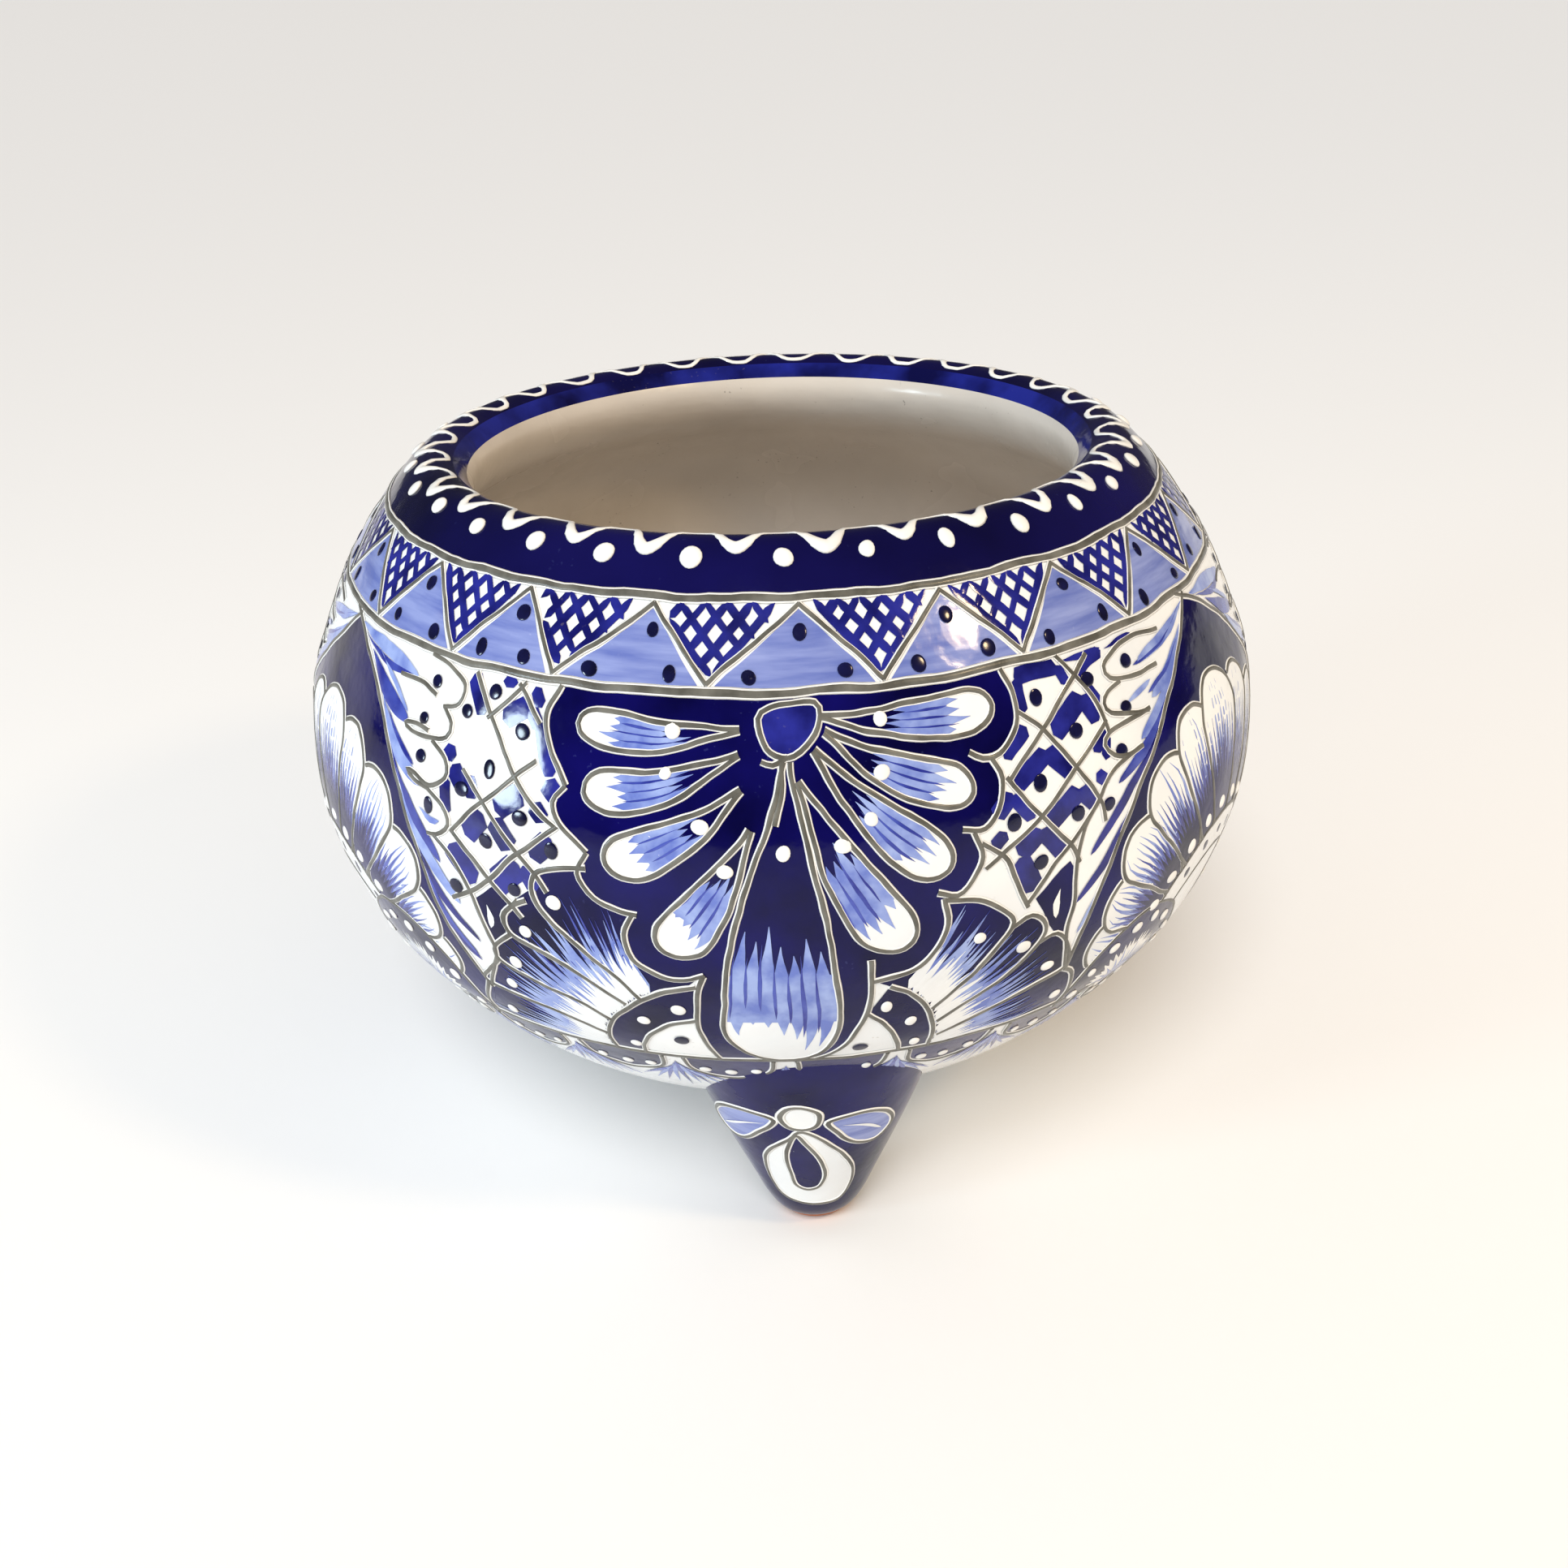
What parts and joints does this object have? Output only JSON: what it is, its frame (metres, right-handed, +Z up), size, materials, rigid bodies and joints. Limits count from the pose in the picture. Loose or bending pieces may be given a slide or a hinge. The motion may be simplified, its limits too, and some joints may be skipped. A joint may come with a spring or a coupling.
{
  "type": "glazed pottery planter bowl",
  "caption": "Squat round glazed clay bowl with a thick rolled lip, raised trim and cone feet, for use as a vase or planter.",
  "frame": {"origin": "centre of the bowl on the surface that its feet stand on", "axes": "+Z up along the bowl's axis, -Y towards the front foot"},
  "size_m": [0.25, 0.25, 0.1846],
  "materials": {
    "fired_clay": "matte unglazed earthenware",
    "white_glaze": "glossy tin glaze",
    "cobalt_glaze": "glossy dark cobalt glaze",
    "line_glaze": "satin grey trailed line"
  },
  "bodies": {
    "root": {"clay_bowl": "fired_clay", "clay_lip": "fired_clay", "foot_front": "fired_clay", "foot_right": "fired_clay", "foot_left": "fired_clay", "outside_glaze": "white_glaze", "inside_glaze": "white_glaze", "lip_glaze": "cobalt_glaze", "foot_glaze_front": "cobalt_glaze", "foot_glaze_right": "cobalt_glaze", "foot_glaze_left": "cobalt_glaze", "lip_dots": "white_glaze", "line_upper": "line_glaze", "line_lower": "line_glaze", "line_bottom": "line_glaze"}
  },
  "joints": []
}
